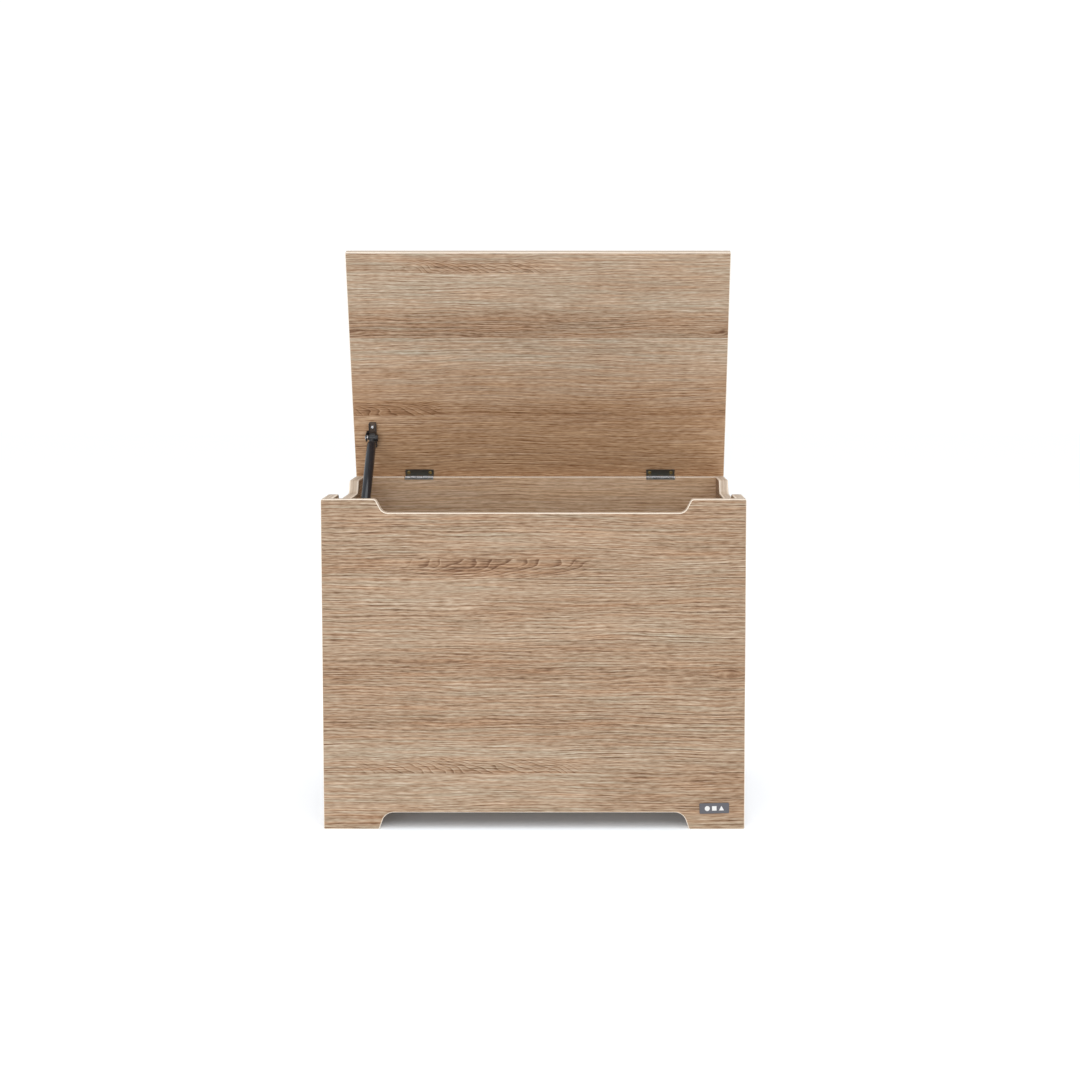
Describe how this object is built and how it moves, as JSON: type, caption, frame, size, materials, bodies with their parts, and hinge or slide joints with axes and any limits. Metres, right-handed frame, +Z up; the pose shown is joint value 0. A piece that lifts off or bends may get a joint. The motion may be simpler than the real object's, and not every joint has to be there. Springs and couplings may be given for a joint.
{
  "type": "toy box",
  "caption": "Wooden toy box with a scooped front, arched feet and a hinged lid held open by a gas strut.",
  "frame": {"origin": "on the floor, under the middle of the whole box with the lid open as stored", "axes": "+X to the right as seen from the front, -Y out of the front, +Z up"},
  "size_m": [0.6, 0.3922, 0.834],
  "materials": {
    "oak_board": "satin oak-effect foil on board, horizontal grain, pale cream edge banding",
    "beech": "plain turned dowel",
    "zinc": "dull zinc die casting and plated bolt",
    "hinge_steel": "dark gunmetal, brighter at the rolled knuckles",
    "screw_brass": "yellow passivated screw head with a cross recess",
    "bracket_steel": "dark painted pressed steel",
    "stud_steel": "polished steel",
    "socket_plastic": "black moulded plastic",
    "tube_paint": "satin black-blue paint",
    "badge": "slate grey printed badge with a pale border and plain shapes"
  },
  "bodies": {
    "root": {"front_panel": "oak_board", "back_panel": "oak_board", "left_side_panel": "oak_board", "right_side_panel": "oak_board", "base_panel": "oak_board", "cam_bolt_front_left_lower": "zinc", "cam_lock_front_left_lower": "zinc", "cam_bolt_front_left_upper": "zinc", "cam_lock_front_left_upper": "zinc", "dowel_front_left": "beech", "cam_bolt_front_right_lower": "zinc", "cam_lock_front_right_lower": "zinc", "cam_bolt_front_right_upper": "zinc", "cam_lock_front_right_upper": "zinc", "dowel_front_right": "beech", "cam_bolt_back_left_lower": "zinc", "cam_lock_back_left_lower": "zinc", "cam_bolt_back_left_upper": "zinc", "cam_lock_back_left_upper": "zinc", "dowel_back_left": "beech", "cam_bolt_back_right_lower": "zinc", "cam_lock_back_right_lower": "zinc", "cam_bolt_back_right_upper": "zinc", "cam_lock_back_right_upper": "zinc", "dowel_back_right": "beech", "hinge_left_back_leaf": "hinge_steel", "hinge_left_pin": "hinge_steel", "hinge_left_back_screw_1": "screw_brass", "hinge_left_back_screw_2": "screw_brass", "hinge_right_back_leaf": "hinge_steel", "hinge_right_pin": "hinge_steel", "hinge_right_back_screw_1": "screw_brass", "hinge_right_back_screw_2": "screw_brass", "strut_side_bracket": "bracket_steel", "strut_side_bracket_screw_1": "screw_brass", "strut_side_bracket_screw_2": "screw_brass", "badge_plate": "badge"},
    "lid": {"lid_panel": "oak_board", "hinge_left_lid_leaf": "hinge_steel", "hinge_left_lid_screw_1": "screw_brass", "hinge_left_lid_screw_2": "screw_brass", "hinge_right_lid_leaf": "hinge_steel", "hinge_right_lid_screw_1": "screw_brass", "hinge_right_lid_screw_2": "screw_brass", "strut_lid_bracket": "bracket_steel", "strut_lid_bracket_screw_1": "screw_brass", "strut_lid_bracket_screw_2": "screw_brass", "strut_upper_stud": "stud_steel"},
    "strut_cylinder": {"strut_upper_socket": "socket_plastic", "strut_tube": "tube_paint"},
    "strut_rod": {"strut_piston_rod": "stud_steel", "strut_lower_socket": "socket_plastic", "strut_lower_stud": "stud_steel"}
  },
  "joints": [
    {"name": "lid_hinge", "type": "hinge", "parent": "root", "child": "lid", "pos_m": [0, 0.17916, 0.4704], "axis": [1, 0, 0], "range_deg": [0, 73.5]},
    {"name": "strut_pivot", "type": "hinge", "parent": "lid", "child": "strut_cylinder", "pos_m": [-0.269, 0.14951, 0.53775], "axis": [1, 0, 0], "range_deg": [-81.3, 0]},
    {"name": "strut_slide", "type": "slide", "parent": "strut_cylinder", "child": "strut_rod", "axis": [0, -0.6919, -0.722], "range_m": [-0.084, 0]}
  ],
  "couplings": [
    {"joint": "strut_pivot", "follows": "lid_hinge", "ratio": -1.1051},
    {"joint": "strut_slide", "follows": "lid_hinge", "m_per_rad": -0.065379}
  ]
}
